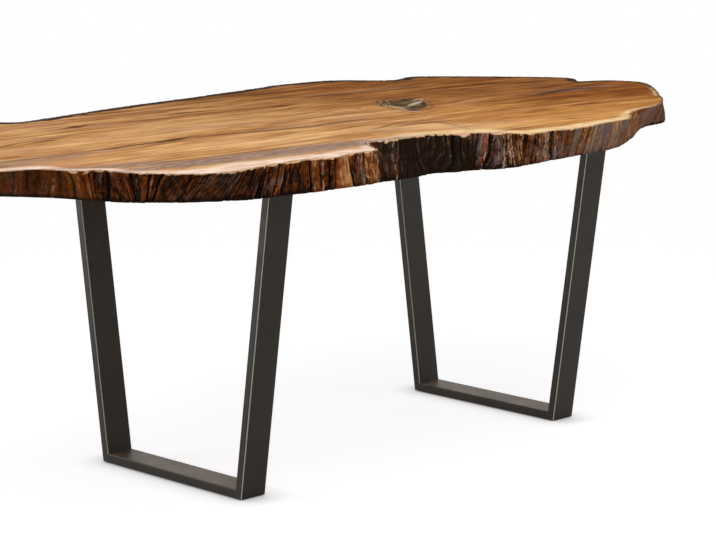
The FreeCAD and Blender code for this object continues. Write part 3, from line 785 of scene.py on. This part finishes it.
def wood_values(spots, outline):
    """What the top's material needs at each spot: grain, figure, tint and knot, each as three numbers."""
    along, across, radius = knot_space(spots)
    gap, beside = nearest(outline, spots)
    edge = beside * EDGE_STEP
    kinds = (DARK_STREAKS, MAUVE_STREAKS, PALE_STREAKS)
    figure = [streak_mask(spots, streaks, STREAK_SEED + k) for k, streaks in enumerate(kinds)]
    sap = edge_band(spots, gap, edge, SAP_STATIONS, SAP_LUMPS, SAP_SPREAD, SAP_FADE)
    rim = edge_band(spots, gap, edge, RIM_STATIONS, RIM_LUMPS, RIM_SPREAD, RIM_FADE)
    wobble = KNOT_WOBBLE * (face_noise(spots, KNOT_LUMPS) - 0.5)
    facet = streak_mask(spots, KNOT_FACETS, FACET_SEED, KNOT_SWING)
    cleft = streak_mask(spots, KNOT_CLEFTS, CLEFT_SEED, KNOT_SWING)
    from_tail = np.stack(knot_axes(spots - KNOT_TAIL), axis=1)
    tail = np.exp(-squares(from_tail, KNOT_TAIL_REACH) ** 2)
    return {
        "grain": grain_space(spots),
        "figure": np.stack(figure, axis=1),
        "tint": np.stack([heartwood_and_shade(spots), sap, rim], axis=1),
        "knot": np.stack([radius + wobble, facet, cleft], axis=1),
        "knot_place": np.stack([along, across, tail], axis=1),
    }


# Mesh of the slab

def inside_loop(loop, xs, y):
    """Which of the xs on one level line lie inside the loop."""
    ahead = np.roll(loop, -1, axis=0)
    cut = (loop[:, 1] <= y) != (ahead[:, 1] <= y)
    share = (y - loop[cut, 1]) / (ahead[cut, 1] - loop[cut, 1])
    crossings = np.sort(loop[cut, 0] + share * (ahead[cut, 0] - loop[cut, 0]))
    return np.searchsorted(crossings, xs) % 2 == 1


def nearest(points, spots):
    """For each spot, the distance to the nearest of the points and that point's number."""
    tree = KDTree(len(points))
    for index, (x, y) in enumerate(points):
        tree.insert((x, y, 0.0), index)
    tree.balance()
    found = [tree.find((x, y, 0.0)) for x, y in spots]
    return np.array([hit[2] for hit in found]), np.array([hit[1] for hit in found])


def grid_inside(loop, step, room):
    """Points of a grid that lie inside the loop and at least room away from it."""
    low, high = loop.min(axis=0), loop.max(axis=0)
    xs = np.arange(low[0], high[0], step[0])
    rows = [np.stack([xs, np.full(len(xs), y)], axis=1)[inside_loop(loop, xs, y)]
            for y in np.arange(low[1], high[1], step[1])]
    spots = np.vstack(rows)
    return spots[nearest(loop, spots)[0] > room]


def top_spots(rim):
    """Points over the top: a grid that is longer along the grain, and a finer one at the knot."""
    spots = grid_inside(rim, TOP_STEP, RIM_MARGIN)
    square = KNOT_PLACE + KNOT_ROOM * np.array(UNIT_SQUARE)
    fine = grid_inside(square, (KNOT_STEP, KNOT_STEP), 0.0)
    return np.vstack([spots[knot_space(spots)[2] > KNOT_SKIRT], fine[knot_space(fine)[2] <= KNOT_SKIRT]])


def under_spots(foot, bores):
    """Points over the underside, clear of its outline and of the insert bores."""
    spots = grid_inside(foot, (UNDER_STEP, UNDER_STEP), UNDER_STEP / 2.0)
    return spots[nearest(np.vstack(bores), spots)[0] > UNDER_STEP / 2.0]


def fill_face(loops, extra):
    """Triangles over a flat face with outline loops and extra inner points, as indices into all of them."""
    points = np.vstack(loops + [extra])
    edges = []
    first = 0
    for loop in loops:
        count = len(loop)
        edges += [(first + k, first + (k + 1) % count) for k in range(count)]
        first += count
    made = delaunay_2d_cdt([Vector(point) for point in points], edges, [], INSIDE_WITH_HOLES, WELD_GAP)
    faces, origins = made[2:4]
    return [[origins[k][0] for k in face] for face in faces]


def ring_faces(index):
    """Four-cornered faces between the points of a grid that closes on itself round the edge."""
    beside = np.roll(index, -1, axis=0)
    faces = np.stack([index[:, :-1], beside[:, :-1], beside[:, 1:], index[:, 1:]], axis=-1)
    return faces.reshape(-1, 4).tolist()


def bore_faces(bores, first_mouth, first_end):
    """Walls and blind ends of the insert bores, whose mouths and ends start at these point numbers."""
    faces = []
    passed = 0
    for bore in bores:
        size = len(bore)
        mouth = [first_mouth + passed + k for k in range(size)]
        inner = [first_end + passed + k for k in range(size)]
        faces += [[mouth[k], mouth[k - 1], inner[k - 1], inner[k]] for k in range(size)]
        faces.append(inner[::-1])
        passed += size
    return faces


def bore_end(cad, bore, top):
    """Height of the blind end of one insert bore."""
    centre = bore.mean(axis=0)
    reach = np.linalg.norm(bore - centre, axis=1).max() * BORE_ROOM
    near = [v.co.z for v in cad.vertices
            if math.hypot(v.co.x - centre[0], v.co.y - centre[1]) < reach and v.co.z < top - RIM_MARGIN]
    return max(near)


def slab_mesh(points, face_groups, values):
    """A smooth mesh that carries three values at each point, and numbers its materials by group of faces."""
    mesh = bpy.data.meshes.new("live_edge_slab")
    mesh.from_pydata(points.tolist(), [], [face for faces in face_groups for face in faces])
    groups = [number for number, faces in enumerate(face_groups) for _ in faces]
    mesh.polygons.foreach_set("material_index", groups)
    mesh.polygons.foreach_set("use_smooth", [True] * len(groups))
    for name, numbers in values.items():
        mesh.attributes.new(name, "FLOAT_VECTOR", "POINT").data.foreach_set("vector", numbers.ravel())
    mesh.set_sharp_from_angle(angle=SHARP_ANGLE)
    mesh.update()
    return mesh


def build_slab():
    """The slab as one closed mesh: bark round the edge, oiled top, sawn underside with the insert bores."""
    cad = frame["nodes"]["slab_top"].data
    low_corner, high_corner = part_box("slab_top")
    bottom, top = low_corner.z, high_corner.z
    upper, lower, bores, length = slab_outlines(cad, bottom, top)
    wall, bark_values = slab_wall(upper, lower, length, low_corner, high_corner)
    foot, rim = wall[:, 0, :2], wall[:, -1, :2]
    spots = top_spots(rim)
    under = under_spots(foot, bores)

    index = np.arange(wall.shape[0] * wall.shape[1]).reshape(wall.shape[:2])
    bore_count = sum(len(bore) for bore in bores)
    first_top = index.size
    first_bore = first_top + len(spots)
    first_end = first_bore + bore_count + len(under)
    top_ids = np.concatenate([index[:, -1], first_top + np.arange(len(spots))])
    low_ids = np.concatenate([index[:, 0], first_bore + np.arange(bore_count + len(under))])
    top_faces = [top_ids[face].tolist() for face in fill_face([rim], spots)]
    under_faces = [low_ids[face[::-1]].tolist() for face in fill_face([foot, *bores], under)]
    under_faces += bore_faces(bores, first_bore, first_end)

    flat = np.vstack([wall.reshape(-1, 3)[:, :2], spots, *bores, under, *bores])
    values = wood_values(flat, upper)
    sink = CRACK_SINK * values["figure"][:, 0] ** 2 + KNOT_SINK * ease(*SINK_EDGE, values["knot"][:, 0])
    levels = np.concatenate([
        wall.reshape(-1, 3)[:, 2],
        (top - sink)[first_top:first_bore],
        np.full(bore_count + len(under), bottom),
        *[np.full(len(bore), bore_end(cad, bore, top)) for bore in bores],
    ])
    for name, grid in bark_values.items():
        values[name] = np.vstack([grid, np.zeros((len(flat) - first_top, 3))])

    mesh = slab_mesh(np.column_stack([flat, levels]), (ring_faces(index), top_faces, under_faces), values)
    slab = new_object("live_edge_slab", mesh)
    for look in (bark_look(), top_wood_look(), sawn_wood_look()):
        mesh.materials.append(look)
    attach(slab, "root")
    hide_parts("slab_top")


# Materials

class Nodes:
    """A node tree, written as short calls that each give a socket."""

    def __init__(self, tree):
        self.nodes = tree.nodes
        self.links = tree.links

    def put(self, socket, value):
        """Links a socket to another one, or sets it to a plain value."""
        if isinstance(value, bpy.types.NodeSocket):
            self.links.new(value, socket)
        else:
            socket.default_value = value

    def node(self, kind, inputs, **settings):
        """A new node with these settings and inputs."""
        made = self.nodes.new(kind)
        for name, setting in settings.items():
            setattr(made, name, setting)
        for key, value in inputs.items():
            self.put(made.inputs[key], value)
        return made

    def place(self):
        return self.node("ShaderNodeTexCoord", {}).outputs["Object"]

    def scaled(self, vector, scale):
        return self.node("ShaderNodeVectorMath", {0: vector, 1: scale}, operation="MULTIPLY").outputs[0]

    def math(self, operation, first, second=0.0):
        return self.node("ShaderNodeMath", {0: first, 1: second}, operation=operation).outputs[0]

    def span(self, value, low, high, to_low=0.0, to_high=1.0, shape="SMOOTHSTEP"):
        """The value's stretch from low to high, turned into to_low to to_high and held there beyond it."""
        inputs = {"Value": value, "From Min": low, "From Max": high, "To Min": to_low, "To Max": to_high}
        return self.node("ShaderNodeMapRange", inputs, interpolation_type=shape).outputs[0]


class Look(Nodes):
    """A material whose colour is built up in layers."""

    def __init__(self, name):
        self.material = bpy.data.materials.new(name)
        self.material.use_nodes = True
        super().__init__(self.material.node_tree)
        self.shader = self.nodes["Principled BSDF"]
        self.colour = None

    def values(self, name):
        """The three numbers that the mesh carries under this name, as one vector."""
        return self.node("ShaderNodeAttribute", {}, attribute_name=name).outputs["Vector"]

    def split(self, vector):
        return self.node("ShaderNodeSeparateXYZ", {0: vector}).outputs

    def noise(self, vector, scale, detail=3.0, rough=0.55, bend=0.0):
        """Noise from 0 to 1 with scale lumps to the unit."""
        inputs = {"Vector": self.scaled(vector, scale), "Scale": 1.0, "Detail": detail,
                  "Roughness": rough, "Distortion": bend}
        return self.node("ShaderNodeTexNoise", inputs).outputs["Fac"]

    def noises(self, vector, kinds):
        """All the noises of a table, by name."""
        return SimpleNamespace(**{name: self.noise(vector, *kind) for name, kind in kinds.items()})

    def cells(self, vector, scale, sway):
        """Irregular cells: a random value for each, and the distance from its border."""
        spot = self.scaled(vector, scale)
        drift = self.node("ShaderNodeTexNoise", {"Vector": spot, "Scale": CELL_DRIFT, "Detail": 3.0})
        moved = {0: drift.outputs["Color"], 1: (sway, sway, 0.0), 2: spot}
        spot = self.node("ShaderNodeVectorMath", moved, operation="MULTIPLY_ADD").outputs[0]
        inputs = {"Vector": spot, "Scale": 1.0}
        flat = {"voronoi_dimensions": "2D"}
        value = self.node("ShaderNodeTexVoronoi", inputs, **flat).outputs["Color"]
        border = self.node("ShaderNodeTexVoronoi", inputs, feature="DISTANCE_TO_EDGE", **flat)
        return self.split(value)[0], border.outputs["Distance"]

    def times(self, first, second):
        return self.math("MULTIPLY", first, second)

    def plus(self, first, *others):
        for other in others:
            first = self.math("ADD", first, other)
        return first

    def minus(self, first, second):
        return self.math("SUBTRACT", first, second)

    def shares(self, *pairs):
        """A sum of values, each times its share."""
        return self.plus(*[self.times(value, share) for value, share in pairs])

    def ramp(self, factor, stops):
        made = self.node("ShaderNodeValToRGB", {0: factor})
        band = made.color_ramp.elements
        while len(band) < len(stops):
            band.new(0.5)
        for element, (spot, colour) in zip(band, stops):
            element.position = spot
            element.color = colour
        return made.outputs[0]

    def mix(self, factor, first, second, blend="MIX"):
        """The first colour at factor 0 and the second at factor 1."""
        inputs = {MIX_FACTOR: factor, MIX_FIRST: first, MIX_SECOND: second}
        return self.node("ShaderNodeMix", inputs, data_type="RGBA", blend_type=blend).outputs[MIX_RESULT]

    def paint(self, factor, colour, blend="MIX"):
        """Lays a colour over the look's colour so far, as much as factor says."""
        self.colour = self.mix(factor, self.colour, colour, blend)

    def finished(self, roughness, height, depth, sheen=0.5, metallic=0.0):
        """The material in its colour so far, with a fine skin of this height that only bends the light."""
        skin = self.node("ShaderNodeBump", {"Height": height, "Distance": depth}).outputs[0]
        inputs = {"Base Color": self.colour, "Roughness": roughness, "Metallic": metallic,
                  "Specular IOR Level": sheen, "Normal": skin}
        for name, value in inputs.items():
            self.put(self.shader.inputs[name], value)
        return self.material


def bark_look():
    """Fibrous bark: black cracks, brown, grey and tan ridges, painted shade in its hollows and painted light
    on its crests, and pale wood where its lip has chipped.
    """
    look = Look("slab_bark")
    place = look.values("bark_place")
    warm, light, peel = look.split(look.values("bark_tone"))
    rough, seam, hollow = look.split(look.values("bark_kind"))
    noise = look.noises(place, BARK_NOISES)
    flake, border = look.cells(place, BARK_CELLS, CELL_SWAY)
    flaky = look.span(rough, 0.4, 1.0)

    hue = look.plus(warm, look.span(noise.patch, *MOST, -0.35, 0.35))
    look.colour = look.mix(look.span(hue, 0.1, 0.9), GREY_BARK, WARM_BARK)
    look.paint(look.span(noise.moss, 0.50, 0.68, 0.0, 0.6), OLIVE_BARK)

    fibre = look.span(noise.fibre, *MOST, -0.22, 0.22)
    thread = look.span(noise.thread, 0.32, 0.68, -0.20, 0.20)
    hair = look.span(noise.sliver, 0.58, 0.72, 0.0, 0.34)
    hair = look.times(hair, look.span(light, -0.05, 0.20, 0.12, 1.0))
    change = look.plus(fibre, thread, hair)
    change = look.times(change, look.span(rough, 0.3, 1.0, 0.22, 1.0))
    change = look.times(change, look.span(light, -0.08, 0.12, 0.60, 1.0))
    blot = look.times(look.span(noise.mottle, *MOST, -0.24, 0.24), look.span(rough, 0.3, 1.0, 0.5, 1.0))
    scale = look.times(look.span(flake, 0.0, 1.0, -0.14, 0.16), flaky)
    change = look.plus(change, blot, scale, look.span(noise.column, *MOST, -0.16, 0.16))
    # Painted shade in the hollows and painted light on the crests
    change = look.minus(change, look.times(hollow, 0.16))
    lift = look.plus(light, look.times(change, look.span(light, 0.0, 0.5, 0.52, 1.0)))

    look.paint(look.span(lift, -0.05, 0.42, 1.0, 0.0), DARK_BARK)
    look.paint(look.span(lift, 0.45, 1.0), TAN_BARK)
    look.paint(look.times(look.span(border, 0.0, 0.08, 0.80, 0.0), flaky), BLACK_BARK)
    # Painted shade: the deeper hollows go black
    look.paint(look.span(hollow, 0.15, 0.95, 0.0, 0.92), BLACK_BARK)
    look.paint(look.times(seam, look.span(noise.thread, 0.35, 0.6, 0.35, 1.0)), SEAM_BARK)
    look.paint(look.times(peel, look.span(noise.fibre, 0.25, 0.55, 0.4, 1.0)), SAP_EDGE)
    roughness = look.span(noise.fibre, *MOST, 0.75, 0.92)
    skin = look.plus(noise.fibre, look.times(noise.speck, 0.35))
    return look.finished(roughness, skin, BARK_SKIN, BARK_SHEEN)


def paint_knot(look):
    """The knot: darker rings round it, a dotted tail, and a grey eye with clefts and pale facets."""
    knot = look.values("knot")
    ring, facet, cleft = look.split(knot)
    knot_place = look.values("knot_place")
    tail = look.split(knot_place)[2]
    noise = look.noises(knot_place, KNOT_NOISES)
    halo = look.span(look.noise(knot, *HALO_NOISE), 0.45, 0.62)
    look.paint(look.times(halo, look.span(ring, 1.0, 1.9, 0.75, 0.0)), RING_WOOD)
    look.paint(look.times(tail, 0.85), look.ramp(noise.dots, TAIL_STOPS))
    eye = look.ramp(noise.eye, KNOT_STOPS)
    eye = look.mix(look.span(ring, 0.68, 0.95, 0.0, 0.6), eye, KNOT_RIM)
    eye = look.mix(cleft, eye, KNOT_RIM)
    look.paint(look.span(ring, 0.82, 1.10, 1.0, 0.0), eye)
    look.paint(facet, KNOT_FACET)


def top_wood_look():
    """Oiled hardwood: honey streaks along the grain, dark and mauve figure, pale sapwood and a knot."""
    look = Look("slab_top_wood")
    grain = look.values("grain")
    along, across = look.split(grain)[:2]
    dark, mauve, pale = look.split(look.values("figure"))
    heart_and_shade, sap, rim = look.split(look.values("tint"))
    noise = look.noises(grain, WOOD_NOISES)

    tone = look.shares((noise.broad, 0.44), (noise.streak, 0.32), (noise.blotch, 0.24))
    look.colour = look.ramp(tone, HONEY_STOPS)
    # Heartwood colour, which also paints shade towards the back right
    look.paint(look.span(heart_and_shade, 0.1, 0.95), look.ramp(tone, HEART_AND_SHADE_STOPS))
    look.paint(look.times(pale, look.span(noise.streak, 0.25, 0.6, 0.5, 1.0)), PALE_WOOD)
    contour = look.math("ABSOLUTE", look.minus(noise.contour, 0.5))
    lines = look.times(look.span(contour, 0.0, 0.035, 0.60, 0.0), look.span(noise.presence, 0.42, 0.62))
    look.paint(lines, RING_WOOD)
    look.paint(look.span(noise.fleck, 0.60, 0.72, 0.0, 0.5), RING_WOOD)
    rose = look.times(noise.rose, look.span(heart_and_shade, 0.2, 0.8, 1.0, 0.8))
    look.paint(look.span(rose, 0.48, 0.66, 0.0, 0.40), ROSE_WOOD)
    amber = look.times(look.span(along, 0.05, 0.40), look.span(across, -0.30, 0.25, 1.0, 0.2))
    look.paint(amber, AMBER_TINT, "MULTIPLY")
    sap_wood = look.mix(look.span(along, -0.30, 0.05), SAP_WOOD, SAP_GOLD)
    look.paint(look.times(sap, look.span(noise.clouds, 0.35, 0.62, 0.45, 1.0)), sap_wood)
    mauve_wood = look.ramp(noise.mauve, MAUVE_STOPS)
    look.paint(look.times(mauve, look.span(noise.streak, 0.3, 0.65, 0.60, 1.0)), mauve_wood)
    look.paint(look.times(dark, look.span(noise.fine, 0.25, 0.6, 0.55, 1.0)), DARK_FIGURE)
    paint_knot(look)
    look.paint(look.span(noise.pores, 0.62, 0.75, 0.0, 0.35), DARK_FIGURE)
    look.paint(look.times(rim, look.span(noise.streak, 0.25, 0.6, 0.75, 1.0)), RIM_BARK)
    roughness = look.span(noise.fine, *MOST, 0.80, 0.90)
    skin = look.minus(noise.fine, look.span(noise.pores, 0.6, 0.75))
    return look.finished(roughness, skin, WOOD_SKIN, WOOD_SHEEN)


def sawn_wood_look():
    """Bare sawn wood of the underside: paler, matt, with the saw's cross marks."""
    look = Look("slab_sawn_wood")
    noise = look.noises(look.values("grain"), SAWN_NOISES)
    saw = look.noise(look.place(), *SAW_NOISE)
    look.colour = look.ramp(look.shares((noise.broad, 0.7), (noise.fine, 0.3)), SAWN_STOPS)
    look.paint(look.span(saw, 0.5, 0.7, 0.0, 0.25), DARK_FIGURE)
    roughness = look.span(noise.fine, *MOST, 0.7, 0.85)
    return look.finished(roughness, look.plus(noise.fine, saw), SAWN_SKIN)


def steel_look():
    """Satin dark bronze coating: mottled, with a fine orange-peel skin, a painted highlight along its upright
    arrises and painted light on its upward faces.
    """
    look = Look("steel_coating")
    noise = look.noises(look.place(), STEEL_NOISES)
    tone = look.shares((noise.cloud, 0.7), (noise.mottle, 0.3))
    facing = look.split(look.node("ShaderNodeTexCoord", {}).outputs["Normal"])
    # A rounded arris faces between two sides
    slant = look.math("ABSOLUTE", facing[0])
    slant = look.times(slant, look.minus(1.0, slant))
    upright = look.span(look.math("ABSOLUTE", facing[2]), 0.25, 0.55, 1.0, 0.15)
    # Painted light: faces that look upward are painted paler, in mottled patches
    top_light = look.times(look.span(facing[2], 0.6, 0.95), look.span(tone, 0.38, 0.62, 0.35, 0.95))
    look.colour = look.ramp(tone, STEEL_STOPS)
    look.paint(top_light, STEEL_TOP_LIGHT)
    # Painted highlight: a pale line along the rounded upright arrises
    look.paint(look.times(look.span(slant, 0.10, 0.20, 0.0, 0.7), upright), STEEL_ARRIS_HIGHLIGHT)
    roughness = look.span(noise.mottle, *MOST, 0.36, 0.48)
    return look.finished(roughness, noise.skin, STEEL_SKIN, STEEL_SHEEN)


def plain_look(name, noise, stops, roughness, metallic, skin):
    """A finish whose tone, roughness and skin all follow one noise."""
    look = Look(name)
    grain = look.noise(look.place(), *noise)
    look.colour = look.ramp(grain, stops)
    return look.finished(look.span(grain, *MOST, *roughness), grain, skin, metallic=metallic)


def zinc_look():
    """Zinc plate: pale grey metal with the faint crystal clouds of the plating."""
    clouds = ((160, 160, 160), 4)
    return plain_look("zinc_plate", clouds, ZINC_STOPS, roughness=(0.28, 0.5), metallic=1.0, skin=0.0001)


def brass_look():
    """Turned brass with faint tool rings."""
    rings = ((20, 20, 1800), 1)
    return plain_look("turned_brass", rings, BRASS_STOPS, roughness=(0.25, 0.42), metallic=1.0, skin=0.0001)


def rubber_look():
    """Matt black rubber with a fine grain."""
    specks = ((900, 900, 900), 3)
    return plain_look("pad_rubber", specks, RUBBER_STOPS, roughness=(0.75, 0.92), metallic=0.0, skin=0.0002)


def dress_frames():
    """Gives each CAD node of the frames and hardware its finish."""
    looks = {
        "frame_steel": steel_look(),
        "zinc_hardware": zinc_look(),
        "insert_brass": brass_look(),
        "pad_rubber": rubber_look(),
    }
    for part in frame["record"]["subparts"]:
        if part["material_slot"] in looks:
            frame["nodes"][part["node"]].material_slots[0].material = looks[part["material_slot"]]


# Studio

def white_where_seen(tree, elsewhere):
    """1 where the camera looks, itself or by a mirror or glass, and the value elsewhere for other light."""
    path = tree.node("ShaderNodeLightPath", {}).outputs
    seen = tree.math("MAXIMUM", path["Is Camera Ray"], path["Is Glossy Ray"])
    seen = tree.math("MAXIMUM", seen, path["Is Transmission Ray"])
    return tree.span(seen, 0.0, 1.0, elsewhere, 1.0, "LINEAR")


def floor_look():
    """A floor that glows white where it is seen, with a painted contact shadow in its glow and shaded at the
    table, and is plain pale for other light.
    """
    material = bpy.data.materials.new("floor_white")
    material.use_nodes = True
    material.node_tree.nodes.clear()
    tree = Nodes(material.node_tree)
    reach = tree.node("ShaderNodeVectorMath", {0: tree.place()}, operation="LENGTH").outputs["Value"]
    glow_share = tree.span(reach, *FLOOR_FADE, *FLOOR_GLOW, "LINEAR")
    shade_share = tree.span(reach, *FLOOR_FADE, *FLOOR_SHADE, "LINEAR")
    # Painted contact shadow: the glow darkens where the table's parts hem it in
    contact_shadow = tree.node("ShaderNodeAmbientOcclusion", {"Distance": FLOOR_CONTACT_SHADOW}).outputs["Color"]
    glow = tree.node("ShaderNodeEmission", {"Color": contact_shadow, "Strength": glow_share})
    shade = tree.node("ShaderNodeBsdfDiffuse", {"Color": tree.scaled(shade_share, FLOOR_TINT)})
    bright = tree.node("ShaderNodeAddShader", {0: glow.outputs[0], 1: shade.outputs[0]})
    matt = tree.node("ShaderNodeBsdfDiffuse", {"Color": FLOOR_COLOUR})
    parts = {0: white_where_seen(tree, 0.0), 1: matt.outputs[0], 2: bright.outputs[0]}
    blend = tree.node("ShaderNodeMixShader", parts)
    tree.node("ShaderNodeOutputMaterial", {0: blend.outputs[0]})
    return material


def build_floor():
    """A wide pale floor that reads as white and still takes the table's shadow."""
    mesh = bpy.data.meshes.new("floor")
    corners = [(x * FLOOR_REACH, y * FLOOR_REACH, 0.0) for x, y in UNIT_SQUARE]
    mesh.from_pydata(corners, [], [(0, 1, 2, 3)])
    floor = new_object("floor", mesh)
    mesh.materials.append(floor_look())


def build_world():
    """White surroundings, dimmer as a light than as a background."""
    world = bpy.data.worlds.new("studio")
    bpy.context.scene.world = world
    world.use_nodes = True
    tree = Nodes(world.node_tree)
    back = tree.nodes["Background"].inputs
    tree.put(back["Color"], WHITE)
    tree.put(back["Strength"], white_where_seen(tree, WORLD_LIGHT))


def add_softbox(name, place, aim, size, power):
    """A large soft lamp at place that points at aim."""
    lamp = bpy.data.lights.new(name, "AREA")
    lamp.shape = "RECTANGLE"
    lamp.size, lamp.size_y = size
    lamp.energy = power
    holder = new_object(name, lamp)
    holder.location = place
    holder.rotation_euler = (Vector(aim) - Vector(place)).to_track_quat("-Z", "Y").to_euler()
    holder.visible_camera = False


def build_camera():
    """The photograph's viewpoint."""
    lens = bpy.data.cameras.new("camera")
    lens.sensor_width = SENSOR_WIDTH
    lens.sensor_fit = "HORIZONTAL"
    lens.lens = SENSOR_WIDTH * FOCAL_PIXELS / IMAGE_WIDTH
    holder = new_object("camera", lens)
    holder.location = CAMERA_PLACE
    holder.rotation_euler = (math.pi / 2.0 - CAMERA_PITCH, 0.0, -CAMERA_YAW)
    bpy.context.scene.camera = holder


bpy.context.scene.view_settings.view_transform = "Standard"
build_camera()
build_floor()
build_world()
for softbox in SOFTBOXES:
    add_softbox(*softbox)
build_slab()
dress_frames()
